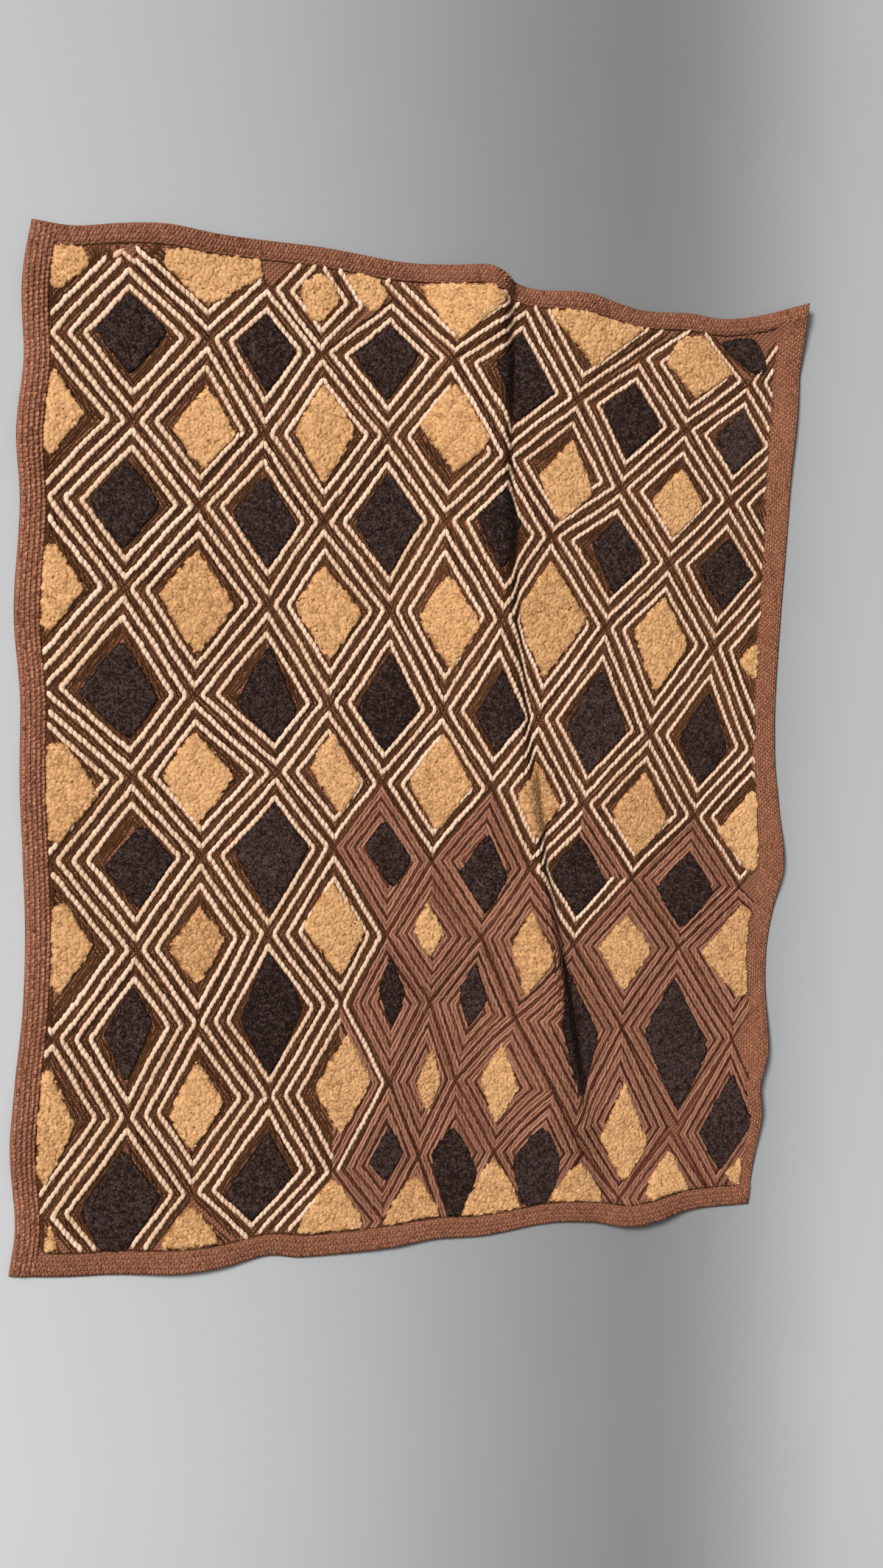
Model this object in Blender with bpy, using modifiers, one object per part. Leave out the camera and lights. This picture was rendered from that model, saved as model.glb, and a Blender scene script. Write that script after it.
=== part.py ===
"""Embroidered raffia panel, lying face up.

One plain-woven raffia cloth with three edges turned over and hemmed, and a flat selvedge at its right.
It lies on a flat surface, apart from one long ridge that runs down from the top edge, low swells in
the field, and a few places where its edges lift.
Plan sizes are millimetres from the bottom left corner of the nominal rectangle, x to the right and
y up the cloth. Heights are millimetres above the surface that the cloth lies on.
"""

from collections import namedtuple
from math import cos, pi, radians

import bpy
from mathutils import Vector

MM = 0.001

# Driving sizes of the cloth
WIDTH = 480.0
HEIGHT = 580.0
FIELD_THICKNESS = 1.7

# Three edges are turned over and sewn down, so they are thicker. The right edge is a flat selvedge.
Hem = namedtuple("Hem", "width thickness")
LEFT_HEM = Hem(14.0, 3.4)
RIGHT_HEM = Hem(18.0, 2.1)
BOTTOM_HEM = Hem(14.0, 3.2)
TOP_HEM = Hem(10.5, 3.2)

# A hem across its width: rounded at the rim, full over its middle, then down to the field
HemPoint = namedtuple("HemPoint", "share fullness")
HEM_SECTION = (
    HemPoint(0.0, 0.75),
    HemPoint(0.16, 0.95),
    HemPoint(0.5, 1.0),
    HemPoint(0.84, 0.85),
    HemPoint(1.0, 0.0),
)
RIM_DEPTH = 2.2
RIM_THICKNESS_SHARE = 0.6

# How far each edge stands out from the nominal rectangle, along x or y, at places along it
EdgePoint = namedtuple("EdgePoint", "along offset")
TOP_EDGE = (
    EdgePoint(0, -0.5),
    EdgePoint(22, -1.5),
    EdgePoint(48, 2.5),
    EdgePoint(72, 4.5),
    EdgePoint(100, 2.5),
    EdgePoint(160, 1.5),
    EdgePoint(210, -1.5),
    EdgePoint(244, -0.5),
    EdgePoint(262, 1.0),
    EdgePoint(276, -4.0),
    EdgePoint(294, -8.5),
    EdgePoint(330, -7.5),
    EdgePoint(366, -14.0),
    EdgePoint(400, -13.0),
    EdgePoint(424, -14.0),
    EdgePoint(450, -9.5),
    EdgePoint(480, 0.0),
)
BOTTOM_EDGE = (
    EdgePoint(0, -1.0),
    EdgePoint(30, -4.0),
    EdgePoint(62, -5.5),
    EdgePoint(96, -8.0),
    EdgePoint(124, -7.0),
    EdgePoint(152, -3.0),
    EdgePoint(172, -6.0),
    EdgePoint(228, -5.0),
    EdgePoint(256, -2.5),
    EdgePoint(290, -3.5),
    EdgePoint(336, 1.0),
    EdgePoint(362, -0.5),
    EdgePoint(388, -4.5),
    EdgePoint(408, -3.0),
    EdgePoint(432, 1.0),
    EdgePoint(480, 1.5),
)
LEFT_EDGE = (
    EdgePoint(0, -2.0),
    EdgePoint(28, 1.0),
    EdgePoint(74, -3.5),
    EdgePoint(104, -1.5),
    EdgePoint(150, 2.5),
    EdgePoint(195, 3.0),
    EdgePoint(240, 0.5),
    EdgePoint(275, -2.0),
    EdgePoint(325, -2.5),
    EdgePoint(372, -7.0),
    EdgePoint(430, -5.0),
    EdgePoint(468, -8.5),
    EdgePoint(508, -4.5),
    EdgePoint(546, -7.0),
    EdgePoint(580, -2.0),
)
RIGHT_EDGE = (
    EdgePoint(0, -2.5),
    EdgePoint(36, 0.0),
    EdgePoint(62, 1.5),
    EdgePoint(80, -1.5),
    EdgePoint(104, 3.0),
    EdgePoint(150, 0.0),
    EdgePoint(174, -0.5),
    EdgePoint(200, 3.0),
    EdgePoint(225, 6.5),
    EdgePoint(262, 2.5),
    EdgePoint(290, -2.5),
    EdgePoint(330, -5.5),
    EdgePoint(385, -5.5),
    EdgePoint(440, -4.5),
    EdgePoint(478, -5.0),
    EdgePoint(520, -3.5),
    EdgePoint(580, -3.5),
)

# The long ridge: its crest in plan, its height, and how far its two flanks reach
CrestPoint = namedtuple("CrestPoint", "y x height left_reach right_reach")
RIDGE = (
    CrestPoint(-15, 360, 0.5, 40, 22),
    CrestPoint(40, 351, 3.0, 42, 20),
    CrestPoint(80, 341, 8.0, 46, 17),
    CrestPoint(115, 333, 12.0, 50, 14),
    CrestPoint(155, 324, 14.0, 55, 13),
    CrestPoint(200, 314, 12.0, 60, 13),
    CrestPoint(250, 303, 9.5, 65, 13),
    CrestPoint(310, 292, 8.0, 68, 13),
    CrestPoint(380, 281, 8.0, 68, 13),
    CrestPoint(450, 273, 8.5, 64, 13),
    CrestPoint(520, 268, 9.5, 60, 13),
    CrestPoint(590, 265, 11.0, 56, 13),
)

# Soft swells off the surface, each an oval bump about its centre
Swell = namedtuple("Swell", "name x y half_x half_y height")
SWELLS = (
    Swell("top left bow", 76, 590, 52, 48, 4.0),
    Swell("top middle bow", 170, 588, 46, 38, 2.5),
    Swell("top right dip", 322, 578, 30, 30, 3.0),
    Swell("top right corner", 486, 584, 54, 64, 8.0),
    Swell("right edge upper", 482, 500, 26, 66, 3.0),
    Swell("right edge bow", 492, 228, 40, 38, 4.0),
    Swell("right edge lower", 489, 84, 40, 74, 7.0),
    Swell("bottom right curl", 398, -8, 52, 40, 7.5),
    Swell("bottom middle", 230, -10, 60, 26, 2.5),
    Swell("bottom left bow", 98, -14, 56, 36, 4.5),
    Swell("left edge lower", -6, 78, 26, 44, 3.5),
    Swell("left edge middle", -5, 268, 20, 46, 2.0),
    Swell("left edge upper", -12, 462, 32, 44, 4.5),
    Swell("left edge top", -10, 544, 26, 28, 3.5),
    Swell("field left of ridge", 200, 330, 70, 90, 1.8),
    Swell("field lower left", 120, 150, 75, 60, 1.6),
    Swell("field upper right", 392, 430, 55, 80, 1.8),
    Swell("field lower right", 410, 190, 50, 60, 2.2),
)

# Columns and rows of the mesh
FIELD_COLUMN = 12.5
FIELD_ROW = 12.5
ACROSS_CREST = (-24.0, -15.0, -8.0, -3.5, 0.0, 3.0, 6.0, 9.5, 13.5, 19.0)

CLOTH_NAME = "raffia_cloth"
RAFFIA_RED_BROWN = (0.36, 0.16, 0.085, 1.0)
RAFFIA_ROUGHNESS = 0.85
SHARP_ANGLE = radians(40)


def smooth_between(rows, key, value, at):
    """Value at a place between table rows, by a smooth curve through them that is level past its ends."""
    keys = [getattr(row, key) for row in rows]
    values = [getattr(row, value) for row in rows]
    if at <= keys[0]:
        return values[0]
    if at >= keys[-1]:
        return values[-1]
    i = max(n for n in range(len(keys) - 1) if keys[n] <= at)
    before, after = max(i - 1, 0), min(i + 2, len(keys) - 1)
    span = keys[i + 1] - keys[i]
    t = (at - keys[i]) / span
    slope_in = (values[i + 1] - values[before]) / (keys[i + 1] - keys[before]) * span
    slope_out = (values[after] - values[i]) / (keys[after] - keys[i]) * span
    step = values[i + 1] - values[i]
    return (
        values[i]
        + slope_in * t
        + (3 * step - 2 * slope_in - slope_out) * t**2
        + (slope_in + slope_out - 2 * step) * t**3
    )


def straight_between(rows, key, value, at):
    """Value at a place between table rows, by straight lines, and the last row's value past the end."""
    for before, after in zip(rows, rows[1:]):
        if at <= getattr(after, key):
            share = (at - getattr(before, key)) / (getattr(after, key) - getattr(before, key))
            return getattr(before, value) + share * (getattr(after, value) - getattr(before, value))
    return getattr(rows[-1], value)


def bell(share):
    """1 at the middle, falling smoothly to 0 at a share of 1 and past it."""
    return 0.5 + 0.5 * cos(pi * min(abs(share), 1.0))


def plan(x, y):
    """Nominal place to the place in plan, which the uneven edges pull out or in."""
    across, up = x / WIDTH, y / HEIGHT
    left = smooth_between(LEFT_EDGE, "along", "offset", y)
    right = smooth_between(RIGHT_EDGE, "along", "offset", y)
    bottom = smooth_between(BOTTOM_EDGE, "along", "offset", x)
    top = smooth_between(TOP_EDGE, "along", "offset", x)
    return x + left * (1 - across) + right * across, y + bottom * (1 - up) + top * up


def crest_x(y):
    return smooth_between(RIDGE, "y", "x", y)


def lift(x, y):
    """Height of the underside above the surface at a place in plan."""
    from_crest = x - crest_x(y)
    side = "left_reach" if from_crest < 0 else "right_reach"
    reach = smooth_between(RIDGE, "y", side, y)
    ridge = smooth_between(RIDGE, "y", "height", y) * bell(from_crest / reach)
    swells = 0.0
    for s in SWELLS:
        share = (((x - s.x) / s.half_x) ** 2 + ((y - s.y) / s.half_y) ** 2) ** 0.5
        swells = max(swells, s.height * bell(share))
    return max(ridge + swells * (1 - bell(from_crest / reach)), 0.0)


def thickness(x, y):
    """The turned hems, the single cloth inside them, and the rounded rim round the outside."""
    from_edges = ((x, LEFT_HEM), (WIDTH - x, RIGHT_HEM), (y, BOTTOM_HEM), (HEIGHT - y, TOP_HEM))
    raised = 0.0
    for distance, hem in from_edges:
        fullness = straight_between(HEM_SECTION, "share", "fullness", distance / hem.width)
        raised = max(raised, fullness * (hem.thickness - FIELD_THICKNESS))
    nearest = min(distance for distance, _ in from_edges)
    rim = RIM_THICKNESS_SHARE + (1 - RIM_THICKNESS_SHARE) * min(nearest / RIM_DEPTH, 1.0)
    return (FIELD_THICKNESS + raised) * rim


def spread(start, end, step):
    """Places from just after start to just before end, about a step apart."""
    count = max(round((end - start) / step), 1)
    return [start + (end - start) * n / count for n in range(1, count)]


def hem_lines(hem):
    """Distances from the edge at which the mesh has a line along a hem."""
    return [point.share * hem.width for point in HEM_SECTION]


def rows_up():
    field = spread(BOTTOM_HEM.width, HEIGHT - TOP_HEM.width, FIELD_ROW)
    return hem_lines(BOTTOM_HEM) + field + [HEIGHT - d for d in reversed(hem_lines(TOP_HEM))]


def columns_across(y, left_count, right_count):
    """Nominal x of each column at a row: hem, field, ridge, field, hem. The ridge's columns follow its crest."""
    ridge = [crest_x(y) + d for d in ACROSS_CREST]
    left_end, right_end = LEFT_HEM.width, WIDTH - RIGHT_HEM.width
    left = [left_end + (ridge[0] - left_end) * n / left_count for n in range(1, left_count)]
    right = [ridge[-1] + (right_end - ridge[-1]) * n / right_count for n in range(1, right_count)]
    selvedge = [WIDTH - d for d in reversed(hem_lines(RIGHT_HEM))]
    return hem_lines(LEFT_HEM) + left + ridge + right + selvedge


def raffia_material():
    material = bpy.data.materials.new("raffia")
    material.use_nodes = True
    surface = material.node_tree.nodes["Principled BSDF"]
    surface.inputs["Base Color"].default_value = RAFFIA_RED_BROWN
    surface.inputs["Roughness"].default_value = RAFFIA_ROUGHNESS
    surface.inputs["Metallic"].default_value = 0.0
    return material


def build_cloth(collection):
    rows = rows_up()
    middle_crest = crest_x(HEIGHT / 2)
    left_count = round((middle_crest - LEFT_HEM.width) / FIELD_COLUMN)
    right_count = round((WIDTH - RIGHT_HEM.width - middle_crest) / FIELD_COLUMN)
    columns = [columns_across(y, left_count, right_count) for y in rows]

    bpy.ops.mesh.primitive_grid_add(
        x_subdivisions=len(columns[0]) - 1, y_subdivisions=len(rows) - 1, size=2
    )
    cloth = bpy.context.object
    cloth.name = CLOTH_NAME
    cloth.data.name = CLOTH_NAME
    full_thickness = cloth.vertex_groups.new(name="thickness")
    for vertex in cloth.data.vertices:
        column = round((vertex.co.x + 1) / 2 * (len(columns[0]) - 1))
        row = round((vertex.co.y + 1) / 2 * (len(rows) - 1))
        y = rows[row]
        x = columns[row][column]
        full_thickness.add([vertex.index], thickness(x, y) / LEFT_HEM.thickness, "REPLACE")
        plan_x, plan_y = plan(x, y)
        vertex.co = Vector((plan_x, plan_y, lift(plan_x, plan_y))) * MM

    layer = cloth.modifiers.new("cloth thickness", "SOLIDIFY")
    layer.thickness = LEFT_HEM.thickness * MM
    layer.offset = 1.0
    layer.vertex_group = full_thickness.name
    layer.thickness_vertex_group = 0.0
    cloth.data.shade_smooth()
    cloth.data.set_sharp_from_angle(angle=SHARP_ANGLE)
    cloth.data.materials.append(raffia_material())

    for old in cloth.users_collection:
        old.objects.unlink(cloth)
    collection.objects.link(cloth)
    return cloth


def centre_on_origin(cloth):
    """Puts the middle of the cloth's outline over the origin, with the surface that it lies on at zero."""
    bpy.context.view_layer.update()
    seen = cloth.evaluated_get(bpy.context.evaluated_depsgraph_get())
    corners = [Vector(corner) for corner in seen.bound_box]
    low_x, high_x = min(c.x for c in corners), max(c.x for c in corners)
    low_y, high_y = min(c.y for c in corners), max(c.y for c in corners)
    cloth.location = (-(low_x + high_x) / 2, -(low_y + high_y) / 2, 0.0)


def main():
    for old in list(bpy.data.objects):
        bpy.data.objects.remove(old, do_unlink=True)
    collection = bpy.data.collections.new("Embroidered raffia panel")
    bpy.context.scene.collection.children.link(collection)
    cloth = build_cloth(collection)
    centre_on_origin(cloth)


main()
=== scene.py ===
"""Embroidered raffia panel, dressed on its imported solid.

Lengths are in metres in the frame, and in millimetres on the cloth. Places on the cloth are given in plan,
from the bottom left corner of its nominal rectangle, x to the right and y up the cloth.
"""

from collections import namedtuple
from math import atan2, hypot, pi, radians

import bpy
import numpy as np
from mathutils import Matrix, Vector


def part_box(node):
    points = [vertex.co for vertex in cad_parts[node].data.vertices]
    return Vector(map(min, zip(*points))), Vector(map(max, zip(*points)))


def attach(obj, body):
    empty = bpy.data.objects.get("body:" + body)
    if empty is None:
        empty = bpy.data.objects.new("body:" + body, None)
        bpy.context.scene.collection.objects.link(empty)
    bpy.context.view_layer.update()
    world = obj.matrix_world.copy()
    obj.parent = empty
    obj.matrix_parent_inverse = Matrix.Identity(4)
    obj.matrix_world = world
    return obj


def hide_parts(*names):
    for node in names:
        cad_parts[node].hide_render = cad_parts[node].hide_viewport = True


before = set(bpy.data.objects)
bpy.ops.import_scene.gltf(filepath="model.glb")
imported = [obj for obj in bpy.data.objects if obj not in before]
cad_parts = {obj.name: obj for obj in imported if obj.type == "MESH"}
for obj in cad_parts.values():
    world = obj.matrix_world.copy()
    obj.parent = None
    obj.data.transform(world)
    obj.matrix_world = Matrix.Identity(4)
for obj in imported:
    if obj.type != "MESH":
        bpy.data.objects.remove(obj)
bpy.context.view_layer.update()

MM = 0.001
rng = np.random.default_rng(580)


# The camera looks down on the panel from its left, a little over a metre above it, rolled a few degrees.
CAMERA_PLACE = (-0.42596, 0.11127, 1.055)
CAMERA_TURN = (-7.125, -22.095, 2.773)
CAMERA_LENS = 44.16


def placed(name, data):
    """A new object in the scene."""
    thing = bpy.data.objects.new(name, data)
    bpy.context.scene.collection.objects.link(thing)
    return thing


camera = placed("camera", bpy.data.cameras.new("camera"))
bpy.context.scene.camera = camera
camera.data.sensor_fit = "VERTICAL"
camera.data.sensor_height = 36.0
camera.data.lens = CAMERA_LENS
camera.location = CAMERA_PLACE
camera.rotation_euler = [radians(angle) for angle in CAMERA_TURN]


# Ground cloth: one plain-woven raffia panel, dyed red brown. Its left, top and bottom edges are turned over
# and sewn down, and its right edge is a flat selvedge. It lies flat apart from one long soft ridge, low
# swells and lifted edges, which repeat those of its solid.
WIDTH = 480.0
HEIGHT = 580.0
FIELD_THICKNESS = 1.7

Hem = namedtuple("Hem", "width thickness")
LEFT_HEM = Hem(14.0, 3.4)
RIGHT_HEM = Hem(18.0, 2.1)
BOTTOM_HEM = Hem(14.0, 3.2)
TOP_HEM = Hem(10.5, 3.2)


def table(row_kind, rows):
    """A table's rows, with the columns that their kind names."""
    return [row_kind(*row) for row in rows]


HemPoint = namedtuple("HemPoint", "share fullness")
HEM_SECTION = table(HemPoint, ((0.0, 0.75), (0.16, 0.95), (0.5, 1.0), (0.84, 0.85), (1.0, 0.0)))
RIM_DEPTH = 2.2
RIM_THICKNESS_SHARE = 0.6

EdgePoint = namedtuple("EdgePoint", "along offset")
TOP_EDGE = table(EdgePoint, (
    (0, -0.5), (22, -1.5), (48, 2.5), (72, 4.5), (100, 2.5),
    (160, 1.5), (210, -1.5), (244, -0.5), (262, 1.0),
    (276, -4.0), (294, -8.5), (330, -7.5), (366, -14.0),
    (400, -13.0), (424, -14.0), (450, -9.5), (480, 0.0),
))
BOTTOM_EDGE = table(EdgePoint, (
    (0, -1.0), (30, -4.0), (62, -5.5), (96, -8.0), (124, -7.0),
    (152, -3.0), (172, -6.0), (228, -5.0), (256, -2.5),
    (290, -3.5), (336, 1.0), (362, -0.5), (388, -4.5),
    (408, -3.0), (432, 1.0), (480, 1.5),
))
LEFT_EDGE = table(EdgePoint, (
    (0, -2.0), (28, 1.0), (74, -3.5), (104, -1.5), (150, 2.5),
    (195, 3.0), (240, 0.5), (275, -2.0), (325, -2.5),
    (372, -7.0), (430, -5.0), (468, -8.5), (508, -4.5),
    (546, -7.0), (580, -2.0),
))
RIGHT_EDGE = table(EdgePoint, (
    (0, -2.5), (36, 0.0), (62, 1.5), (80, -1.5), (104, 3.0),
    (150, 0.0), (174, -0.5), (200, 3.0), (225, 6.5),
    (262, 2.5), (290, -2.5), (330, -5.5), (385, -5.5),
    (440, -4.5), (478, -5.0), (520, -3.5), (580, -3.5),
))

CrestPoint = namedtuple("CrestPoint", "y x height left_reach right_reach")
RIDGE = table(CrestPoint, (
    (-15, 360, 0.5, 40, 22),
    (40, 351, 3.0, 42, 20),
    (80, 341, 8.0, 46, 17),
    (115, 333, 12.0, 50, 14),
    (155, 324, 14.0, 55, 13),
    (200, 314, 12.0, 60, 13),
    (250, 303, 9.5, 65, 13),
    (310, 292, 8.0, 68, 13),
    (380, 281, 8.0, 68, 13),
    (450, 273, 8.5, 64, 13),
    (520, 268, 9.5, 60, 13),
    (590, 265, 11.0, 56, 13),
))

Swell = namedtuple("Swell", "name x y half_x half_y height")
SWELLS = table(Swell, (
    ("top left bow", 76, 590, 52, 48, 4.0),
    ("top middle bow", 170, 588, 46, 38, 2.5),
    ("top right dip", 322, 578, 30, 30, 3.0),
    ("top right corner", 486, 584, 54, 64, 8.0),
    ("right edge upper", 482, 500, 26, 66, 3.0),
    ("right edge bow", 492, 228, 40, 38, 4.0),
    ("right edge lower", 489, 84, 40, 74, 7.0),
    ("bottom right curl", 398, -8, 52, 40, 7.5),
    ("bottom middle", 230, -10, 60, 26, 2.5),
    ("bottom left bow", 98, -14, 56, 36, 4.5),
    ("left edge lower", -6, 78, 26, 44, 3.5),
    ("left edge middle", -5, 268, 20, 46, 2.0),
    ("left edge upper", -12, 462, 32, 44, 4.5),
    ("left edge top", -10, 544, 26, 28, 3.5),
    ("field left of ridge", 200, 330, 70, 90, 1.8),
    ("field lower left", 120, 150, 75, 60, 1.6),
    ("field upper right", 392, 430, 55, 80, 1.8),
    ("field lower right", 410, 190, 50, 60, 2.2),
))


def smooth_through(rows, key, value, at):
    """Values of a smooth curve through a table's rows, level past its ends."""
    keys = np.array([getattr(row, key) for row in rows], float)
    values = np.array([getattr(row, value) for row in rows], float)
    slopes = np.empty(len(keys))
    slopes[1:-1] = (values[2:] - values[:-2]) / (keys[2:] - keys[:-2])
    slopes[0] = (values[1] - values[0]) / (keys[1] - keys[0])
    slopes[-1] = (values[-1] - values[-2]) / (keys[-1] - keys[-2])
    at = np.clip(at, keys[0], keys[-1])
    i = np.clip(np.searchsorted(keys, at, side="right") - 1, 0, len(keys) - 2)
    span = keys[i + 1] - keys[i]
    t = (at - keys[i]) / span
    rise = values[i + 1] - values[i]
    leaving, arriving = slopes[i] * span, slopes[i + 1] * span
    bend = 3 * rise - 2 * leaving - arriving
    return values[i] + leaving * t + bend * t**2 + (leaving + arriving - 2 * rise) * t**3


def bell(share):
    """1 at the middle, falling smoothly to 0 at a share of 1 and past it."""
    return 0.5 + 0.5 * np.cos(pi * np.minimum(np.abs(share), 1.0))


def plan(u, v):
    """Place on the nominal rectangle to the place in plan, which the uneven edges pull out or in."""
    across, up = u / WIDTH, v / HEIGHT
    left = smooth_through(LEFT_EDGE, "along", "offset", v)
    right = smooth_through(RIGHT_EDGE, "along", "offset", v)
    bottom = smooth_through(BOTTOM_EDGE, "along", "offset", u)
    top = smooth_through(TOP_EDGE, "along", "offset", u)
    return u + left * (1 - across) + right * across, v + bottom * (1 - up) + top * up


def unwarped(x, y):
    """Place in plan back to the place on the nominal rectangle."""
    u, v = x, y
    for _ in range(4):
        plan_x, plan_y = plan(u, v)
        u, v = u + x - plan_x, v + y - plan_y
    return u, v


def lift(x, y):
    """Height of the cloth's underside over the surface that it lies on."""
    from_crest = x - smooth_through(RIDGE, "y", "x", y)
    left = smooth_through(RIDGE, "y", "left_reach", y)
    right = smooth_through(RIDGE, "y", "right_reach", y)
    over_ridge = bell(from_crest / np.where(from_crest < 0, left, right))
    swells = np.zeros_like(from_crest)
    for s in SWELLS:
        swells = np.maximum(swells, s.height * bell(np.hypot((x - s.x) / s.half_x, (y - s.y) / s.half_y)))
    height = smooth_through(RIDGE, "y", "height", y)
    return np.maximum(height * over_ridge + swells * (1 - over_ridge), 0.0)


def thickness(u, v):
    """The turned hems, the single cloth inside them, and the rounded rim round the outside."""
    shares = [point.share for point in HEM_SECTION]
    fullness = [point.fullness for point in HEM_SECTION]
    raised = np.zeros_like(u)
    nearest = np.full_like(u, WIDTH)
    for distance, hem in ((u, LEFT_HEM), (WIDTH - u, RIGHT_HEM), (v, BOTTOM_HEM), (HEIGHT - v, TOP_HEM)):
        here = np.interp(distance / hem.width, shares, fullness)
        raised = np.maximum(raised, here * (hem.thickness - FIELD_THICKNESS))
        nearest = np.minimum(nearest, distance)
    rim = RIM_THICKNESS_SHARE + (1 - RIM_THICKNESS_SHARE) * np.clip(nearest / RIM_DEPTH, 0.0, 1.0)
    return (FIELD_THICKNESS + raised) * rim


SLOPE_STEP = 0.5


def underside(x, y):
    """Points of the underside, the cloth's upward normal there, and its two slopes to the right and up."""
    z = lift(x, y)
    right_slope = (lift(x + SLOPE_STEP, y) - z) / SLOPE_STEP
    up_slope = (lift(x, y + SLOPE_STEP) - z) / SLOPE_STEP
    points = np.stack([x, y, z], axis=-1)
    ones, zeros = np.ones_like(z), np.zeros_like(z)
    normals = np.stack([-right_slope, -up_slope, ones], axis=-1)
    normals /= np.linalg.norm(normals, axis=-1, keepdims=True)
    rightward = np.stack([ones, zeros, right_slope], axis=-1)
    upward = np.stack([zeros, ones, up_slope], axis=-1)
    return points, normals, rightward, upward


def lines_between(start, end, step):
    """Evenly spaced places from start up to, but not at, end."""
    count = max(round((end - start) / step), 1)
    return [start + (end - start) * n / count for n in range(count)]


HEM_LINE = 1.7
FIELD_COLUMN = 3.0
FIELD_ROW = 6.5


def mesh_lines(near_hem, far_hem, length, field_step):
    """Where the ground's mesh lines run: close together over two hems, and wider between them."""
    near, far = near_hem.width, length - far_hem.width
    field = lines_between(near, far, field_step)
    return lines_between(0.0, near, HEM_LINE) + field + lines_between(far, length, HEM_LINE) + [length]


def mesh_from(name, points, faces):
    """A mesh from an array of points in metres and arrays of faces, each with its own count of corners."""
    mesh = bpy.data.meshes.new(name)
    mesh.vertices.add(len(points))
    mesh.vertices.foreach_set("co", points.astype("f").ravel())
    corners = np.concatenate([some.ravel() for some in faces])
    sizes = np.concatenate([np.full(len(some), some.shape[1]) for some in faces])
    mesh.loops.add(len(corners))
    mesh.loops.foreach_set("vertex_index", corners.astype("i"))
    mesh.polygons.add(len(sizes))
    mesh.polygons.foreach_set("loop_start", (np.cumsum(sizes) - sizes).astype("i"))
    mesh.update(calc_edges=True)
    mesh.shade_smooth()
    return mesh


def ground_mesh():
    """The cloth's face, its underside and the rim between them, as one closed mesh."""
    columns = mesh_lines(LEFT_HEM, RIGHT_HEM, WIDTH, FIELD_COLUMN)
    u, v = np.meshgrid(columns, mesh_lines(BOTTOM_HEM, TOP_HEM, HEIGHT, FIELD_ROW))
    x, y = plan(u, v)
    low, normals, _, _ = underside(x, y)
    high = low + normals * thickness(u, v)[..., None]
    rows, columns = u.shape
    index = np.arange(rows * columns).reshape(rows, columns)
    a, b, c, d = index[:-1, :-1], index[:-1, 1:], index[1:, 1:], index[1:, :-1]
    face = np.stack([a, b, c, d], axis=-1).reshape(-1, 4) + rows * columns
    back = np.stack([a, d, c, b], axis=-1).reshape(-1, 4)
    rim = np.concatenate([index[0], index[1:, -1], index[-1, -2::-1], index[-2:0:-1, 0]])
    after = np.roll(rim, -1)
    side = np.stack([rim, after, after + rows * columns, rim + rows * columns], axis=-1)
    return np.concatenate([low.reshape(-1, 3), high.reshape(-1, 3)]), [face, back, side]


ground_points, ground_faces = ground_mesh()

# The panel's outline is centred in its solid's box, so its corner is where the solid's is.
solid_low, solid_high = (Vector(corner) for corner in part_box("raffia_cloth"))
outline_middle = (ground_points[:, :2].min(axis=0) + ground_points[:, :2].max(axis=0)) / 2
PANEL_CORNER = np.array([
    (solid_low.x + solid_high.x) / 2 - outline_middle[0] * MM,
    (solid_low.y + solid_high.y) / 2 - outline_middle[1] * MM,
    0.0,
])


def dressed(name, mesh, material):
    """A piece that rides with the panel, in the finish it is given."""
    piece = placed(name, mesh)
    mesh.materials.append(material)
    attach(piece, "root")
    return piece


def new_group(name, inputs, outputs):
    """A shader node group with its sockets, its input node and its output node."""
    group = bpy.data.node_groups.new(name, "ShaderNodeTree")
    for socket, kind, default in inputs:
        made = group.interface.new_socket(socket, in_out="INPUT", socket_type="NodeSocket" + kind)
        made.default_value = default
    for socket, kind in outputs:
        group.interface.new_socket(socket, in_out="OUTPUT", socket_type="NodeSocket" + kind)
    return group, group.nodes.new("NodeGroupInput"), group.nodes.new("NodeGroupOutput")


def put(tree, kind, settings=()):
    """A node with its properties set, and each input set to a plain value or linked to a socket."""
    node = tree.nodes.new("ShaderNode" + kind)
    for key, value in dict(settings).items():
        if isinstance(value, bpy.types.NodeSocket):
            tree.links.new(value, node.inputs[key])
        elif isinstance(key, str) and hasattr(node, key):
            setattr(node, key, value)
        else:
            node.inputs[key].default_value = value
    return node


def mixed(tree, share, first, second):
    """Two colours mixed by a share. Each is a socket or a plain value."""
    return put(tree, "Mix", {"data_type": "RGBA", 0: share, 6: first, 7: second}).outputs[2]


def worked(tree, operation, first, second=0.0, third=0.0):
    """A Math node's output. Each operand is a socket or a plain number."""
    return put(tree, "Math", {"operation": operation, 0: first, 1: second, 2: third}).outputs[0]


def soil_group():
    """Uneven dye, handling and dust over the whole panel, in soft patches of two sizes."""
    group, given, result = new_group(
        "Soil and fade",
        (
            ("Colour", "Color", (0.5, 0.5, 0.5, 1.0)),
            ("Soil", "Color", (0.1, 0.05, 0.03, 1.0)),
            ("Patches", "Float", 0.3),
            ("Specks", "Float", 0.2),
        ),
        (("Colour", "Color"),),
    )
    place = put(group, "TexCoord").outputs["Object"]
    wide = put(group, "TexNoise", {"Scale": 22.0, "Detail": 3.0, "Roughness": 0.55, "Vector": place})
    fine = put(group, "TexNoise", {"Scale": 420.0, "Detail": 2.0, "Roughness": 0.6, "Vector": place})
    patch = worked(group, "MULTIPLY", wide.outputs[0], given.outputs["Patches"])
    speck = worked(group, "MULTIPLY", fine.outputs[0], given.outputs["Specks"])
    share = worked(group, "ADD", patch, speck)
    share.node.use_clamp = True
    mix = mixed(group, share, given.outputs["Colour"], given.outputs["Soil"])
    group.links.new(mix, result.inputs["Colour"])
    return group


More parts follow.
